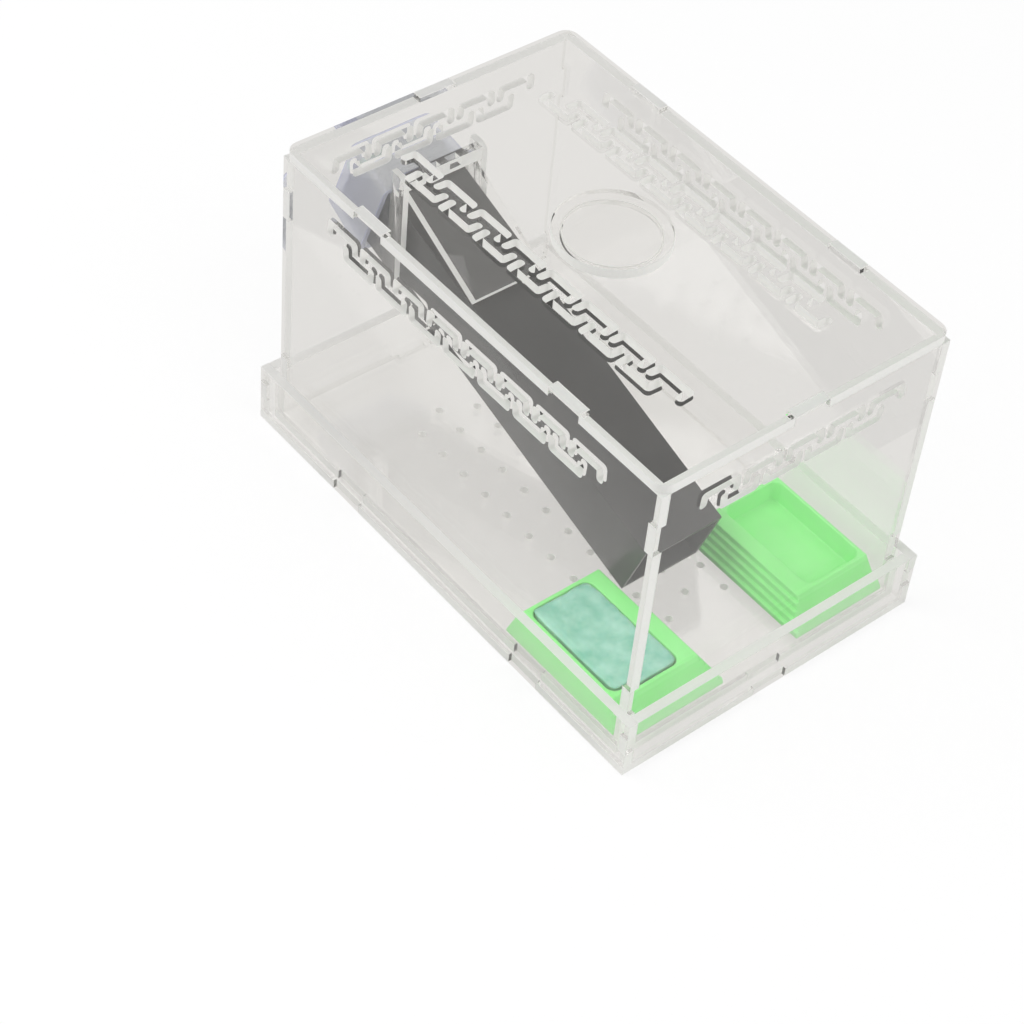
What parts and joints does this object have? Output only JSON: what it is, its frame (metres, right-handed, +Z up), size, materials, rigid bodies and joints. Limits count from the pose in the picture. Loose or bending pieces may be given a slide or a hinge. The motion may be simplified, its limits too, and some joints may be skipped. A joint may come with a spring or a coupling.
{
  "type": "cricket keeper box",
  "caption": "Clear acrylic insect keeper box with chain vents in a shallow tray, with a slanted feeding tube, cup, hinged flap, lift-off lid with round hatch, and food and water dishes.",
  "frame": {"origin": "centre of the tray's underside", "axes": "+Z up, +X towards the end with the dishes, +Y towards the food dish"},
  "size_m": [0.1874, 0.107, 0.106],
  "materials": {
    "clear_acrylic": "clear polished sheet with frosted cut edges",
    "smoke_plastic": "dark smoke translucent",
    "blue_plastic": "pale blue translucent",
    "green_plastic": "satin moulded",
    "gel": "cloudy wet gel"
  },
  "bodies": {
    "tray": {"tray_floor": "clear_acrylic", "tray_side_left": "clear_acrylic", "tray_side_right": "clear_acrylic", "tray_tube_end": "clear_acrylic", "tray_dish_end": "clear_acrylic"},
    "box": {"floor_panel": "clear_acrylic", "side_panel_left": "clear_acrylic", "side_panel_right": "clear_acrylic", "tube_end_panel": "clear_acrylic", "dish_end_panel": "clear_acrylic", "flap_cheek_left": "clear_acrylic", "flap_cheek_right": "clear_acrylic", "flap_stop_bar": "clear_acrylic"},
    "lid": {"top_panel": "clear_acrylic"},
    "hatch": {"hatch_flange": "clear_acrylic", "hatch_spigot": "clear_acrylic"},
    "tube": {"feeding_tube": "smoke_plastic"},
    "cap": {"tube_cap": "blue_plastic"},
    "flap": {"flap_plate": "clear_acrylic"},
    "food_dish": {"food_dish": "green_plastic"},
    "water_dish": {"water_dish": "green_plastic"},
    "pad": {"gel_pad": "gel"}
  },
  "joints": [
    {"name": "box_lift", "type": "slide", "parent": "tray", "child": "box", "axis": [0, 0, 1], "range_m": [0, 0.04]},
    {"name": "lid_lift", "type": "slide", "parent": "box", "child": "lid", "axis": [0, 0, 1], "range_m": [0, 0.04]},
    {"name": "hatch_lift", "type": "slide", "parent": "lid", "child": "hatch", "axis": [0, 0, 1], "range_m": [0, 0.02]},
    {"name": "tube_slide", "type": "slide", "parent": "box", "child": "tube", "axis": [-0.9483, 0, 0.3172], "range_m": [0, 0.15]},
    {"name": "cap_pull", "type": "slide", "parent": "tube", "child": "cap", "axis": [-0.9483, 0, 0.3172], "range_m": [0, 0.03]},
    {"name": "flap_swing", "type": "hinge", "parent": "box", "child": "flap", "pos_m": [-0.072, 0, 0.07349], "axis": [0, -1, 0], "range_deg": [0, 35]},
    {"name": "food_dish_lift", "type": "slide", "parent": "box", "child": "food_dish", "axis": [0, 0, 1], "range_m": [0, 0.06]},
    {"name": "water_dish_lift", "type": "slide", "parent": "box", "child": "water_dish", "axis": [0, 0, 1], "range_m": [0, 0.06]},
    {"name": "pad_lift", "type": "slide", "parent": "water_dish", "child": "pad", "axis": [0, 0, 1], "range_m": [0, 0.02]}
  ]
}
